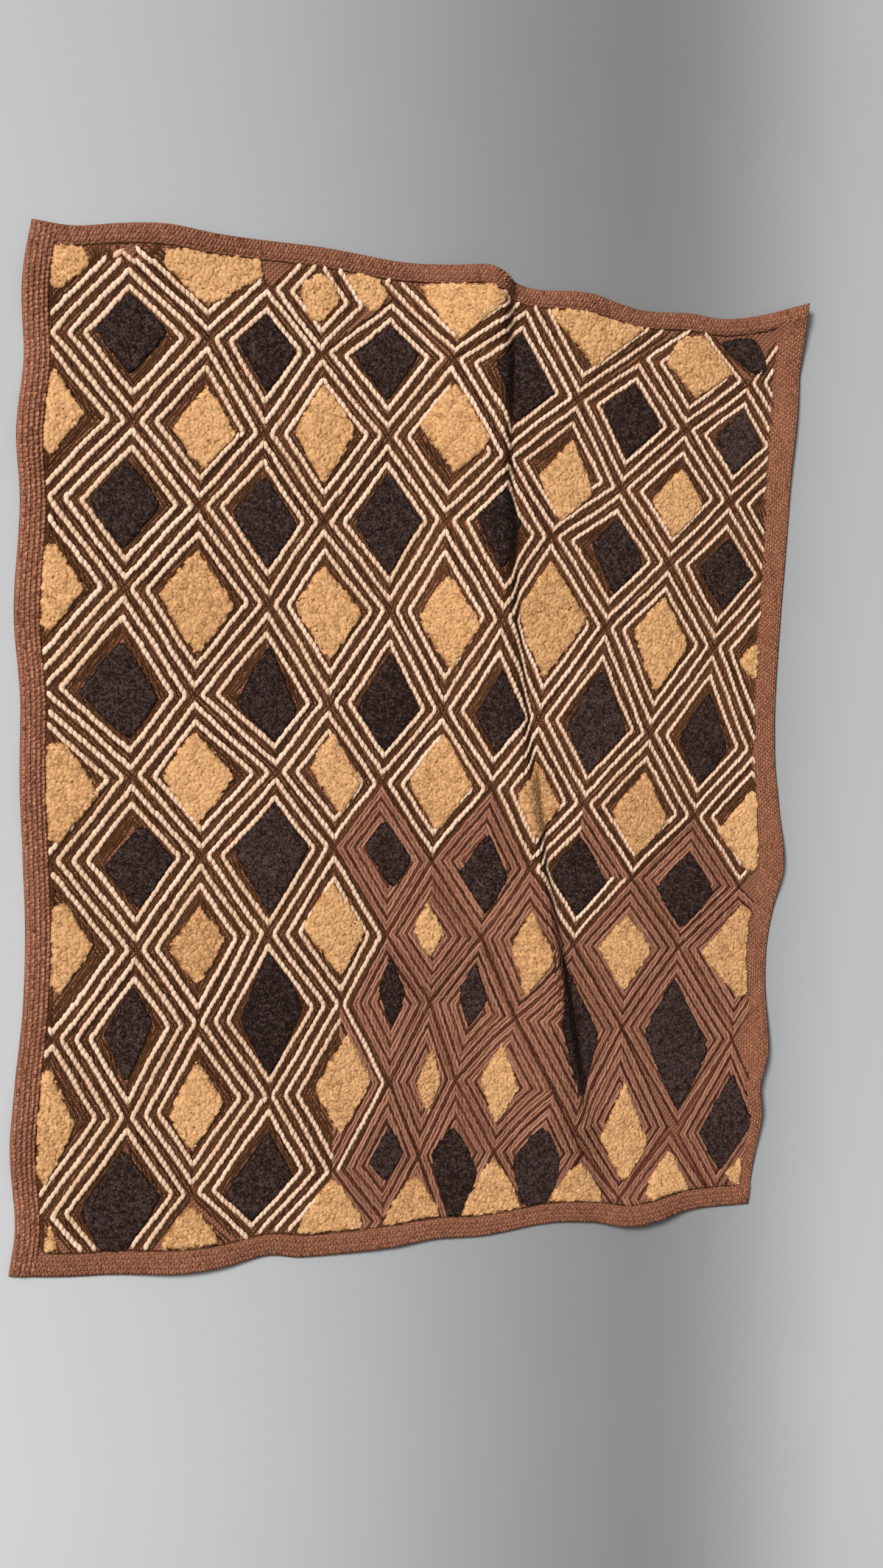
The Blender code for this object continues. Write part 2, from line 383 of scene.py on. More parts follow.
def weave_group():
    """Plain weave: warp and weft of raffia strips, one over the other in turn, and where the ground paints
    shade between them.
    """
    group, given, result = new_group(
        "Plain weave",
        (("Threads per metre", "Float", 700.0),),
        (("Height", "Float"), ("Gap", "Float")),
    )
    place = put(group, "TexCoord").outputs["Object"]
    wander = put(group, "TexNoise", {"Scale": 90.0, "Detail": 1.0, "Vector": place}).outputs[1]
    bend = {"operation": "MULTIPLY_ADD", 0: wander, 1: (0.0012, 0.0012, 0.0), 2: place}
    axes = put(group, "SeparateXYZ", {0: put(group, "VectorMath", bend).outputs[0]})
    turns = worked(group, "MULTIPLY", given.outputs["Threads per metre"], pi)
    warp = worked(group, "SINE", worked(group, "MULTIPLY", axes.outputs[0], turns))
    weft = worked(group, "SINE", worked(group, "MULTIPLY", axes.outputs[1], turns))
    over = worked(group, "MULTIPLY", warp, weft)
    height = worked(group, "MULTIPLY_ADD", over, 0.5, 0.5)
    edges = worked(group, "MULTIPLY", worked(group, "ABSOLUTE", warp), worked(group, "ABSOLUTE", weft))
    gap = put(group, "MapRange", {0: edges, 1: 0.0, 2: 0.25, 3: 1.0, 4: 0.0})
    group.links.new(height, result.inputs["Height"])
    group.links.new(gap.outputs[0], result.inputs["Gap"])
    return group


SOIL = soil_group()
WEAVE = weave_group()


def new_surface(name, roughness, sheen):
    """A material with its tree and its shader, whose plain numbers are set on the shader itself."""
    material = bpy.data.materials.new(name)
    material.use_nodes = True
    tree = material.node_tree
    surface = tree.nodes["Principled BSDF"]
    surface.inputs["Roughness"].default_value = roughness
    surface.inputs["Metallic"].default_value = 0.0
    surface.inputs["Specular IOR Level"].default_value = 0.08
    surface.inputs["Sheen Weight"].default_value = sheen
    surface.inputs["Sheen Roughness"].default_value = 0.5
    return material, tree, surface


def soiled(tree, colour, soil, patches, specks):
    """A colour with the panel's soil and fade over it."""
    settings = {"node_tree": SOIL, "Colour": colour, "Soil": soil, "Patches": patches, "Specks": specks}
    return put(tree, "Group", settings).outputs["Colour"]


def finish_surface(tree, surface, colour, height, strength, distance):
    """Joins a colour and a fine relief to a shader."""
    bump = put(tree, "Bump", {"Strength": strength, "Distance": distance, "Height": height})
    tree.links.new(colour, surface.inputs["Base Color"])
    tree.links.new(bump.outputs[0], surface.inputs["Normal"])


def ground_material():
    """Bare plain weave, with painted shade in the gaps where the strips cross."""
    material, tree, surface = new_surface("red brown woven raffia", 0.85, 0.05)
    weave = put(tree, "Group", {"node_tree": WEAVE, "Threads per metre": 620.0})
    # The second colour is painted shade in the gaps between the strips.
    strips = mixed(tree, weave.outputs["Gap"], (0.33, 0.13, 0.072, 1.0), (0.08, 0.028, 0.016, 1.0))
    colour = soiled(tree, strips, (0.08, 0.03, 0.017, 1.0), 0.4, 0.25)
    finish_surface(tree, surface, colour, weave.outputs["Height"], 0.8, 0.0008)
    return material


ground = dressed(
    "ground_cloth",
    mesh_from("ground_cloth", ground_points * MM + PANEL_CORNER, ground_faces),
    ground_material(),
)
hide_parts("raffia_cloth")


# Hem and selvedge strips: the raffia that shows on the turned edges. Down the left hem it floats in five
# rows, laid like bricks. Along the top and bottom it slants in short strips over the fold. On the selvedge
# it is the plain weave's own strips. Dark strips along the hems' inner edges are partly the thread that
# sews the hems down and partly painted shadow of the raised hems.
Template = namedtuple("Template", "stations ring")
Station = namedtuple("Station", "along fullness")
RingPoint = namedtuple("RingPoint", "across up")
ROUND_STITCH = Template(
    table(Station, ((-0.5, 0.35), (-0.24, 1.0), (0.24, 1.0), (0.5, 0.35))),
    table(RingPoint, ((-0.5, -0.3), (-0.38, 0.6), (0.0, 1.0), (0.38, 0.6), (0.5, -0.3))),
)
SLIM_STITCH = Template(
    table(Station, ((-0.5, 0.5), (0.0, 1.0), (0.5, 0.5))),
    table(RingPoint, ((-0.5, -0.3), (0.0, 1.0), (0.5, -0.3))),
)

Strips = namedtuple("Strips", "x y heading length width height tone")


def joined_strips(groups):
    """Several sets of strips as one."""
    return Strips(*(np.concatenate(column) for column in zip(*groups)))


def face_of_cloth(x, y):
    """Points on the cloth's face, with its normal and its two slopes there."""
    points, normals, rightward, upward = underside(x, y)
    return points + normals * thickness(*unwarped(x, y))[..., None], normals, rightward, upward


def set_tones(mesh, tones):
    """Gives each point of a mesh its own tone, from 0 light to 1 dark, which its material reads."""
    tone = mesh.attributes.new("tone", "FLOAT", "POINT")
    tone.data.foreach_set("value", tones.astype("f"))


def strip_mesh(name, strips, template):
    """All strips as one mesh of closed slim shapes lying on the cloth, each with its own tone."""
    along = np.array([s.along for s in template.stations for _ in template.ring])
    full = np.array([s.fullness for s in template.stations for _ in template.ring])
    across = np.array([p.across for _ in template.stations for p in template.ring]) * full
    up = np.array([p.up for _ in template.stations for p in template.ring]) * full
    count, size, sides = len(strips.x), len(along), len(template.ring)
    origin, normals, rightward, upward = face_of_cloth(strips.x, strips.y)
    a = along * strips.length[:, None]
    c = across * strips.width[:, None]
    right = a * np.cos(strips.heading)[:, None] - c * np.sin(strips.heading)[:, None]
    forth = a * np.sin(strips.heading)[:, None] + c * np.cos(strips.heading)[:, None]
    rise = up * strips.height[:, None]
    points = (
        origin[:, None]
        + right[..., None] * rightward[:, None]
        + forth[..., None] * upward[:, None]
        + rise[..., None] * normals[:, None]
    )
    walls = []
    for station in range(len(template.stations) - 1):
        for side in range(sides):
            here, there = station * sides + side, station * sides + (side + 1) % sides
            walls.append((here, there, there + sides, here + sides))
    ends = [tuple(range(sides - 1, -1, -1)), tuple(range(size - sides, size))]
    starts = (np.arange(count) * size)[:, None, None]
    faces = [(np.array(some) + starts).reshape(-1, len(some[0])) for some in (walls, ends)]
    mesh = mesh_from(name, points.reshape(-1, 3) * MM + PANEL_CORNER, faces)
    set_tones(mesh, np.repeat(strips.tone, size))
    # Each strip's fibres start at a place of their own.
    offset = rng.uniform(0.0, 90.0, count)[:, None]
    along_and_across = np.stack([a + offset, c + offset * 0.37], axis=-1).reshape(-1, 2)
    corners = np.concatenate([some.ravel() for some in faces])
    layer = mesh.uv_layers.new(name="strip")
    layer.data.foreach_set("uv", along_and_across[corners].astype("f").ravel())
    return mesh


def dressed_strips(name, strips, template, finish):
    """A piece made of strips, in their finish."""
    return dressed(name, strip_mesh(name, strips, template), finish)


def fibre_group():
    """Fine fibres along a raffia strip, from its own lengthwise and crosswise millimetres."""
    group, given, result = new_group(
        "Raffia fibres",
        (
            ("Light", "Color", (0.8, 0.6, 0.4, 1.0)),
            ("Dark", "Color", (0.4, 0.3, 0.2, 1.0)),
            ("Streaks", "Float", 0.5),
        ),
        (("Colour", "Color"), ("Height", "Float")),
    )
    place = put(group, "UVMap", {"uv_map": "strip"}).outputs[0]
    stretch = put(group, "Mapping", {"Scale": (0.3, 3.2, 1.0), "Vector": place}).outputs[0]
    streak = put(group, "TexNoise", {"Scale": 1.0, "Detail": 3.0, "Roughness": 0.6, "Vector": stretch})
    sharper = put(group, "MapRange", {0: streak.outputs[0], 1: 0.3, 2: 0.7, 3: 0.0, 4: 1.0})
    tone = put(group, "Attribute", {"attribute_name": "tone"}).outputs["Fac"]
    share = worked(group, "MULTIPLY", sharper.outputs[0], given.outputs["Streaks"])
    share = worked(group, "ADD", share, tone)
    share.node.use_clamp = True
    mix = mixed(group, share, given.outputs["Light"], given.outputs["Dark"])
    group.links.new(mix, result.inputs["Colour"])
    group.links.new(sharper.outputs[0], result.inputs["Height"])
    return group


FIBRES = fibre_group()


def strip_material(name, light, dark, soil, streaks, patches):
    """Raffia strips, light or dark by their own tone, with fibres along them."""
    material, tree, surface = new_surface(name, 0.65, 0.0)
    fibres = put(tree, "Group", {"node_tree": FIBRES, "Light": light, "Dark": dark, "Streaks": streaks})
    colour = soiled(tree, fibres.outputs["Colour"], soil, patches, 0.15)
    finish_surface(tree, surface, colour, fibres.outputs["Height"], 0.5, 0.0003)
    return material


EdgeStrip = namedtuple("EdgeStrip", "pitch lean length width height")
LEFT_FLOAT = EdgeStrip(2.4, 0.0, 2.5, 1.9, 0.8)
TOP_SLANT = EdgeStrip(2.1, radians(62), 2.8, 1.35, 0.8)
BOTTOM_SLANT = EdgeStrip(2.1, radians(118), 2.9, 1.35, 0.8)
SELVEDGE_STRIP = EdgeStrip(2.4, 0.0, 2.1, 1.4, 0.5)
# Seam strips: partly the sewing thread, partly painted shadow of the raised hems.
LEFT_SEAM_SHADOW = EdgeStrip(4.6, 0.0, 6.2, 2.6, 0.6)
TOP_SEAM_SHADOW = LEFT_SEAM_SHADOW._replace(width=1.8)
BOTTOM_SEAM_SHADOW = LEFT_SEAM_SHADOW._replace(width=1.9)


def hem_strips(rows, start, end, up_cloth, strip):
    """Strips in rows along an edge, each row half a pitch on from the row before it."""
    sets = []
    for n, distance in enumerate(rows):
        places = np.arange(start + strip.pitch * (0.5 if n % 2 else 1.0), end, strip.pitch)
        count = len(places)
        places = places + rng.normal(0.0, strip.pitch * 0.07, count)
        distances = np.full(count, distance) + rng.normal(0.0, 0.12, count)
        u, v = (distances, places) if up_cloth else (places, distances)
        x, y = plan(u, v)
        step_x, step_y = plan(u + (not up_cloth), v + up_cloth)
        run = np.arctan2(step_y - y, step_x - x)
        sets.append(Strips(
            x, y, run + strip.lean + rng.normal(0.0, radians(5), count),
            strip.length * rng.uniform(0.85, 1.15, count), strip.width * rng.uniform(0.85, 1.1, count),
            strip.height * rng.uniform(0.8, 1.1, count), rng.beta(2.0, 3.0, count) * 0.8,
        ))
    return joined_strips(sets)


HEM_LIGHT = (0.66, 0.29, 0.17, 1.0)
HEM_DARK = (0.12, 0.035, 0.016, 1.0)
SOIL_BROWN = (0.07, 0.028, 0.015, 1.0)
DEEP_BROWN = (0.034, 0.013, 0.005, 1.0)

hem_finish = strip_material("red brown hem raffia", HEM_LIGHT, HEM_DARK, SOIL_BROWN, 0.5, 0.4)
selvedge_finish = strip_material(
    "orange brown selvedge raffia", (0.70, 0.30, 0.155, 1.0), HEM_DARK, SOIL_BROWN, 0.4, 0.3
)
dark_finish = strip_material(
    "dark brown raffia", (0.14, 0.055, 0.018, 1.0), DEEP_BROWN, DEEP_BROWN, 0.5, 0.2
)

left_strips = hem_strips((1.7, 4.4, 7.2, 10.0, 12.7), 2.0, HEIGHT - 2.0, True, LEFT_FLOAT)
top_strips = hem_strips([HEIGHT - d for d in (1.9, 4.6, 7.3)], 2.0, WIDTH - 2.0, False, TOP_SLANT)
bottom_strips = hem_strips((1.9, 4.7, 7.5, 10.3), 2.0, WIDTH - 2.0, False, BOTTOM_SLANT)
selvedge_rows = [WIDTH - d for d in np.arange(1.1, 17.0, 1.8)]
selvedge_strips = hem_strips(selvedge_rows, 2.0, HEIGHT - 2.0, True, SELVEDGE_STRIP)
# The thread that sews the hems down sinks in a dark line along their inner edges. The dark strips there are
# also painted shadow cast by the raised hems onto the field.
seam_and_shadow_strips = joined_strips([
    hem_strips((15.3,), 16.0, HEIGHT - 12.0, True, LEFT_SEAM_SHADOW),
    hem_strips((HEIGHT - 10.3,), 16.0, WIDTH - 19.0, False, TOP_SEAM_SHADOW),
    hem_strips((13.4,), 16.0, WIDTH - 12.0, False, BOTTOM_SEAM_SHADOW),
])

hem_pieces = [
    dressed_strips("left_hem_strips", left_strips, ROUND_STITCH, hem_finish),
    dressed_strips("top_hem_strips", top_strips, SLIM_STITCH, hem_finish),
    dressed_strips("bottom_hem_strips", bottom_strips, SLIM_STITCH, hem_finish),
    dressed_strips("selvedge_strips", selvedge_strips, SLIM_STITCH, selvedge_finish),
    dressed_strips("hem_seams_and_painted_shadow", seam_and_shadow_strips, SLIM_STITCH, dark_finish),
]


# Cream outlines: rows of stem stitch in undyed raffia, two round each diamond of the lattice. Each stitch
# is steeper than its row, so the row climbs in small steps. The lattice is charted crossing by crossing, in
# rows from the top, as uneven as the panel.
Crossing = namedtuple("Crossing", "x y gap", defaults=(0.0,))
LATTICE = (
    ((7, 626), (96, 622), (162, 590), (240, 604), (324, 592), (403, 565), (470, 575)),
    ((50, 563), (129, 559), (203, 558), (288, 562), (364, 538), (440, 529)),
    ((7, 522, 7.5), (96, 526), (162, 524), (240, 527), (324, 510), (398, 497), (470, 490)),
    ((55, 478), (130, 476), (204, 480), (277, 473), (356, 459), (432, 455)),
    ((8, 434, 6.5), (94, 434), (167, 429), (241, 434), (311, 428), (391, 415), (467, 410)),
    ((53, 387), (136, 381), (210, 380), (278, 378), (351, 375), (427, 365)),
    ((5, 330), (94, 328), (174, 325), (245, 322), (309, 318), (385, 310), (460, 300)),
    ((60, 282), (144, 285), (209, 279), (277, 276), (342, 266), (420, 258)),
    ((15, 235, 9), (101, 237), (181, 241), (243, 232), (303, 228), (378, 219), (456, 212)),
    ((65, 184), (142.5, 190, 7.5), (216, 188), (277, 185), (340, 178), (413, 175)),
    ((19, 134, 9.5), (102.5, 140, 6), (189, 147, 6), (246, 146), (301, 135), (377, 124), (458, 113)),
    ((63, 87, 6.5), (147, 94, 6), (222, 98), (265, 97), (328, 88), (421, 59)),
    ((10, 32, 7), (102, 39), (188, 46, 7), (243, 51), (293, 50), (350, 44)),
    ((58, -19), (139, 2), (222, 12), (264, -2), (323, 0)),
    ((10, -42), (102, -36), (188, -24), (243, -36), (293, -44)),
)
PAST_LEFT, PAST_RIGHT = -25.0, 500.0

# A cell's rows are dyed side by side: left top, top right, right bottom, bottom left. c is cream, r is rust
# and d is dark brown.
Cell = namedtuple("Cell", "level column left top right bottom outer inner")
RUST_CELLS = (
    (7, 2), (7, 3), (7, 5), (8, 3), (8, 4), (8, 5), (8, 6), (9, 2), (9, 3), (9, 4), (9, 5), (10, 3),
    (10, 4), (10, 5), (11, 2), (11, 3), (11, 4), (11, 6), (12, 3), (12, 4), (12, 5), (12, 6), (12, 7),
)
DYES = dict.fromkeys(RUST_CELLS, ("rrrr", "rrrr"))
DYES.update({
    (0, 0): ("cdcc", "cdcc"),
    (0, 1): ("dccc", "dccc"),
    (0, 5): ("cccc", "cdcc"),
    (7, 4): ("crcc", "crcc"),
    (10, 2): ("cccc", "crrc"),
    (12, 0): ("dddd", "dddd"),
    (12, 1): ("ddcc", "ddcc"),
    (12, 2): ("crrr", "crrr"),
})
# Under the top hem and where the rows slip at the lower right, cells have left, top, right and bottom
# corners of their own, and one cell is gone.
SLIPPED = {
    (0, 2): ((129.6, 556), (159, 588), (189.5, 552), (161, 521)),
    (0, 3): ((193, 566), (240, 604), (288, 562), (241, 527)),
    (0, 4): ((288, 562), (336, 600), (384, 554), (324, 510)),
    (9, 4): ((301, 135), (340, 178), (377, 124), (345, 62)),
    (10, 5): ((345, 62), (377, 124), (414, 57), (381, 13)),
    (11, 4): ((293, 50), (328, 88), (352, 46), (323, 0)),
    (11, 6): ((422, 52), (458, 113), (485, 55), (452, 5)),
    (12, 5): ((323, 0), (353, 46), (381, 13), (353, -45)),
    (12, 6): ((381, 13), (416, 54), (452, 5), (416, -45)),
    (12, 7): ((452, 5), (485, 55), (520, 5), (485, -45)),
}
GONE = (10, 6)


def lattice_cells():
    """Every diamond of the lattice, black ones on the odd levels and tan ones on the even."""
    levels = [table(Crossing, row) for row in LATTICE]
    corners = {}
    for k, (above, row, below) in enumerate(zip(levels, levels[1:], levels[2:])):
        if k % 2 == 0:
            row = [Crossing(PAST_LEFT, row[0].y)] + row + [Crossing(PAST_RIGHT, row[-1].y)]
        for c, (left, right) in enumerate(zip(row, row[1:])):
            charted = c < len(above) and c < len(below)
            if charted and (k, c) not in SLIPPED and (k, c) != GONE:
                corners[k, c] = (left, above[c], right, below[c])
    corners.update({place: table(Crossing, own) for place, own in SLIPPED.items()})
    cream = ("cccc", "cccc")
    return [Cell(*place, *some, *DYES.get(place, cream)) for place, some in corners.items()]


def meeting(first, second):
    """Where two lines meet, each a point and a direction."""
    (px, py), (dx, dy) = first
    (qx, qy), (ex, ey) = second
    cross = dx * ey - dy * ex
    t = ((qx - px) * ey - (qy - py) * ex) / cross
    return px + dx * t, py + dy * t


def at_level(line, y):
    """The point of a line, a point and a direction, at a height up the cloth."""
    (px, py), (dx, dy) = line
    return px + dx * (y - py) / dy, y


def beside(crossing, side):
    """The place at a crossing's own gap from it, to its right at 1 and to its left at -1."""
    return crossing.x + side * crossing.gap, crossing.y


def rows_round(cell, inset):
    """The four straight rows round a cell at an inset, each as its start and end, or None where gone."""
    left, right = beside(cell.left, 1), beside(cell.right, -1)
    upper = ((left, beside(cell.top, -1)), (beside(cell.top, 1), right))
    lower = ((right, beside(cell.bottom, 1)), (beside(cell.bottom, -1), left))
    lines = []
    for start, end in upper + lower:
        dx, dy = end[0] - start[0], end[1] - start[1]
        length = hypot(dx, dy)
        inward = (dy / length, -dx / length)
        lines.append(((start[0] + inward[0] * inset, start[1] + inward[1] * inset), (dx, dy)))
    west, east = meeting(lines[3], lines[0]), meeting(lines[1], lines[2])
    top, bottom = meeting(lines[0], lines[1]), meeting(lines[2], lines[3])
    high, low = cell.top.y, cell.bottom.y
    top_ends = (top, top) if top[1] < high else (at_level(lines[0], high), at_level(lines[1], high))
    low_ends = (bottom, bottom) if bottom[1] > low else (at_level(lines[2], low), at_level(lines[3], low))
    rows = ((west, top_ends[0]), (top_ends[1], east), (east, low_ends[0]), (low_ends[1], west))
    kept = []
    for (start, end), (_, (dx, dy)) in zip(rows, lines):
        goes_on = (end[0] - start[0]) * dx + (end[1] - start[1]) * dy > 0
        kept.append((start, end) if goes_on else None)
    return kept


def rows_of_dye(cell, inset, dyes, wanted):
    """The rows round a cell at an inset whose dye is one of those wanted."""
    return [row for row, dye in zip(rows_round(cell, inset), dyes) if row and dye in wanted]


SelvedgePoint = namedtuple("SelvedgePoint", "y width")
SELVEDGE = table(SelvedgePoint, (
    (0, 9), (60, 8.5), (110, 10.5), (150, 14),
    (228, 17.5), (300, 14.5), (400, 15.5), (500, 17.5),
    (580, 17.5),
))


def depth_in_field(x, y):
    """How far places in plan are inside the hems and the selvedge. On them it is below zero."""
    u, v = unwarped(x, y)
    across = np.minimum(u - LEFT_HEM.width, WIDTH - smooth_through(SELVEDGE, "y", "width", v) - u)
    return np.minimum(across, np.minimum(v - BOTTOM_HEM.width, HEIGHT - TOP_HEM.width - v))


# How far each patch of cut pile reaches. Its shape is diamond, or the side on which a hem cuts it straight.
Pile = namedtuple("Pile", "level column x0 x1 y0 y1 shape", defaults=("diamond",))
TAN_PILES = table(Pile, (
    (2, 0, 5, 28, 457, 502, "left"),
    (2, 1, 77, 113, 454, 499),
    (2, 2, 148, 184, 451, 507),
    (2, 3, 223, 265, 461, 513),
    (2, 4, 301, 337, 437, 485),
    (2, 5, 377, 412, 431, 473),
    (4, 0, 7, 30, 361, 410, "left"),
    (4, 1, 73, 116, 351, 409),
    (4, 2, 152, 192, 350, 404),
    (4, 3, 228, 265, 347, 402),
    (4, 4, 291, 337, 343, 413),
    (4, 5, 370, 408, 336, 394),
    (4, 6, 446, 460, 345, 368, "right"),
    (6, 0, 12, 42, 244, 302, "left"),
    (6, 1, 78, 119, 255, 308),
    (6, 2, 164, 196, 261, 308),
    (6, 3, 226, 265, 250, 308),
    (6, 4, 293, 326, 244, 293),
    (6, 5, 362, 401, 233, 286),
    (6, 6, 437, 471, 222, 274, "right"),
    (8, 0, 17, 41, 160, 212, "left"),
    (8, 1, 84, 117, 162, 207),
    (8, 2, 164, 202, 165, 221),
    (8, 3, 233, 253, 173, 207),
    (8, 4, 295, 321, 149, 203),
    (8, 5, 358, 394, 147, 197),
    (8, 6, 430, 470, 140, 200, "right"),
    (10, 0, 12, 33, 50, 117, "left"),
    (10, 1, 87, 120, 65, 117),
    (10, 2, 175, 210, 68, 128),
    (10, 3, 239, 256, 76, 118),
    (10, 4, 281, 307, 67, 119),
    (10, 5, 366, 400, 23, 88),
    (12, 0, 17, 24, 10, 27, "bottom"),
    (12, 1, 85, 119, 5, 31, "bottom"),
    (12, 2, 168, 208, 8, 40, "bottom"),
    (12, 3, 222, 259, 7, 39, "bottom"),
    (12, 4, 274, 312, 9, 45, "bottom"),
    (12, 5, 332, 369, 11, 39, "bottom"),
    (12, 6, 400, 431, 11, 41, "bottom"),
    (12, 7, 457, 474, 14, 33, "right"),
))
BLACK_PILES = table(Pile, (
    (1, 0, 33, 73, 502, 547),
    (1, 1, 112, 148, 499, 545),
    (1, 2, 180, 222, 500, 549),
    (1, 3, 265, 309, 490, 548),
    (1, 4, 341, 380, 475, 523),
    (1, 5, 419, 453, 469, 512),
    (3, 0, 32, 72, 408, 457),
    (3, 1, 113, 152, 398, 453),
    (3, 2, 186, 232, 396, 464),
    (3, 3, 257, 291, 407, 462),
    (3, 4, 338, 373, 393, 442),
    (3, 5, 412, 455, 387, 434),
    (5, 0, 29, 74, 303, 358),
    (5, 1, 119, 155, 296, 358),
    (5, 2, 191, 231, 295, 356),
    (5, 3, 265, 298, 293, 351),
    (5, 4, 328, 369, 282, 350),
    (5, 5, 406, 441, 278, 337),
    (7, 0, 46, 89, 204, 255),
    (7, 1, 121, 166, 201, 272),
    (7, 2, 200, 230, 215, 257),
    (7, 3, 261, 290, 199, 250),
    (7, 4, 322, 361, 192, 246),
    (7, 5, 395, 437, 187, 236),
    (9, 0, 48, 76, 107, 163),
    (9, 1, 127, 165, 106, 182),
    (9, 2, 212, 230, 130, 175),
    (9, 3, 264, 284, 128, 170),
    (9, 5, 393, 440, 68, 155),
    (11, 1, 121, 164, 15, 73),
    (11, 2, 210, 233, 36, 72),
    (11, 6, 437, 475, 25, 90),
))
# The hems cut patches at the top and bottom to shapes of their own, and the ridge leans on a black one.
TOP_PILES = (
    ((8, 568), (22, 570), (29, 564), (27, 556), (14, 545), (8, 546)),
    ((70, 571), (100, 574), (124, 575), (126, 562), (98, 544), (92, 545), (78, 556), (70, 563)),
    ((150, 562), (160, 567), (168, 562), (171, 553), (161, 540), (155, 541), (148, 553)),
    ((174, 567), (184, 572), (192, 570), (201, 559), (194, 549), (187, 551)),
    ((219, 566), (232, 569), (267, 572), (268, 561), (243, 537)),
    ((303, 560), (316, 563), (345, 563), (364, 560), (365, 553), (334, 530)),
    ((392, 552), (408, 554), (429, 533), (404, 517), (382, 537)),
)
OTHER_BLACK_PILES = {
    (0, 7): (
        (418, 551), (430, 555), (442, 556), (449, 549), (453, 540), (450, 534), (444, 534), (431, 541),
    ),
    (9, 4): ((331, 174), (345, 150), (361, 122), (355, 94), (347, 81), (338, 100), (328, 135)),
    (11, 0): ((37, 33), (49, 53), (61, 68), (72, 55), (84, 39), (77, 25), (68, 9), (50, 9)),
    (11, 3): (
        (251, 50), (258, 62), (264, 67), (269, 64), (276, 52), (283, 38), (279, 26), (271, 9), (264, 9),
        (256, 33),
    ),
    (11, 4): (
        (306, 42), (313, 54), (323, 65), (330, 60), (338, 42), (335, 22), (328, 13), (315, 14), (309, 28),
    ),
}
CUT_SHAPES = {
    "left": ((0, 0.1), (0, 0.94), (0.3, 1), (1, 0.5), (0.25, 0)),
    "right": ((0, 0.5), (0.7, 1), (1, 0.9), (1, 0.08), (0.75, 0)),
    "bottom": ((0, 0), (0.02, 0.28), (0.4, 0.94), (0.5, 1), (0.6, 0.94), (0.98, 0.28), (1, 0)),
}

# How far in from the lattice's own lines the two cream rows and the pile lie.
CREAM_INSETS = (3.4, 9.8)
CLEAR_OF_CREAM = 11.6
BLACK_PILE_INSET = 12.2
TAN_PILE_INSET = 14.5
FULL_SIDES = 1.07

cells = lattice_cells()
by_place = {(cell.level, cell.column): cell for cell in cells}


def inset_corners(cell, inset):
    """The left, top, right and bottom corners of a cell's inset shape."""
    rows = rows_round(cell, inset)
    return [rows[0][0], rows[0][1], rows[1][1], rows[2][1]]


def pile_outline(pile):
    """A patch of pile's corners, going round, within its reach. A diamond's sides bulge a little."""
    low, high = np.array([pile.x0, pile.y0]), np.array([pile.x1, pile.y1])
    if pile.shape in CUT_SHAPES:
        return low + np.array(CUT_SHAPES[pile.shape]) * (high - low)
    inset = BLACK_PILE_INSET if pile.level % 2 else TAN_PILE_INSET
    shape = np.array(inset_corners(by_place[pile.level, pile.column], inset))
    shares = (shape - shape.min(axis=0)) / (shape.max(axis=0) - shape.min(axis=0))
    corners = low + shares * (high - low)
    middle = corners.mean(axis=0)
    sides = middle + ((corners + np.roll(corners, -1, axis=0)) / 2 - middle) * FULL_SIDES
    return np.stack([corners, sides], axis=1).reshape(-1, 2)


def depth_within(outline, x, y, rounding=0.05):
    """How far places are inside a convex outline, which goes round either way, its corners rounded."""
    outline = np.array(outline, float)
    after = np.roll(outline, -1, axis=0)
    turn = np.sum(outline[:, 0] * after[:, 1] - after[:, 0] * outline[:, 1])
    sides = []
    for (ax, ay), (bx, by) in zip(outline, after):
        side = ((bx - ax) * (y - ay) - (by - ay) * (x - ax)) / hypot(bx - ax, by - ay)
        sides.append(side if turn > 0 else -side)
    return -rounding * np.logaddexp.reduce(-np.array(sides) / rounding, axis=0)


def depth_in_patch(patch, x, y):
    """How far places are inside all the outlines that bound a patch."""
    return np.minimum.reduce([depth_within(outline, x, y) for outline in patch])


tan_patches = [(outline,) for outline in [*map(pile_outline, TAN_PILES), *TOP_PILES]]
black_outlines = {(pile.level, pile.column): pile_outline(pile) for pile in BLACK_PILES}
black_outlines.update(OTHER_BLACK_PILES)
black_patches = []
for place, outline in black_outlines.items():
    cell = by_place.get(place)
    within_cream = cell is not None and "c" in cell.inner
    black_patches.append((outline, inset_corners(cell, CLEAR_OF_CREAM)) if within_cream else (outline,))

STEM_STITCH = Template(
    table(Station, ((-0.5, 0.3), (-0.2, 1.0), (0.2, 1.0), (0.5, 0.3))),
    table(RingPoint, ((-0.5, -0.3), (-0.27, 0.9), (0.27, 0.9), (0.5, -0.3))),
)
StitchKind = namedtuple("StitchKind", "pitch width height shade wander turn")
# Each stitch is longer than its pitch by this much, and starts beside the one before it.
OVERLAP = 1.6


def stitches_along(start, end, kind):
    """Stem stitches from start to end, each turned a little towards upright, with the row's own wander."""
    dx, dy = end[0] - start[0], end[1] - start[1]
    length = hypot(dx, dy)
    count = max(round(length / kind.pitch), 1)
    share = (np.arange(count) + 0.5) / count
    run = atan2(dy, dx) % pi
    heading = run + radians(kind.turn) * (1 if run < pi / 2 else -1)
    bow = kind.wander * np.sin(share * length / 8.0 + rng.uniform(0, 2 * pi))
    away = bow + rng.normal(0.0, 0.15, count)
    x = start[0] + dx * share - dy / length * away
    y = start[1] + dy * share + dx / length * away
    return Strips(
        x, y, heading + rng.normal(0.0, radians(4), count),
        np.full(count, length / count * OVERLAP) * rng.uniform(0.93, 1.1, count),
        kind.width * rng.uniform(0.88, 1.12, count), kind.height * rng.uniform(0.85, 1.15, count),
        np.clip(kind.shade + 0.5 * kind.shade * rng.normal() + rng.normal(0.0, 0.08, count), 0.0, 1.0),
    )


# How far stitches may lie over the pile's edge.
UNDER_PILE = 0.4


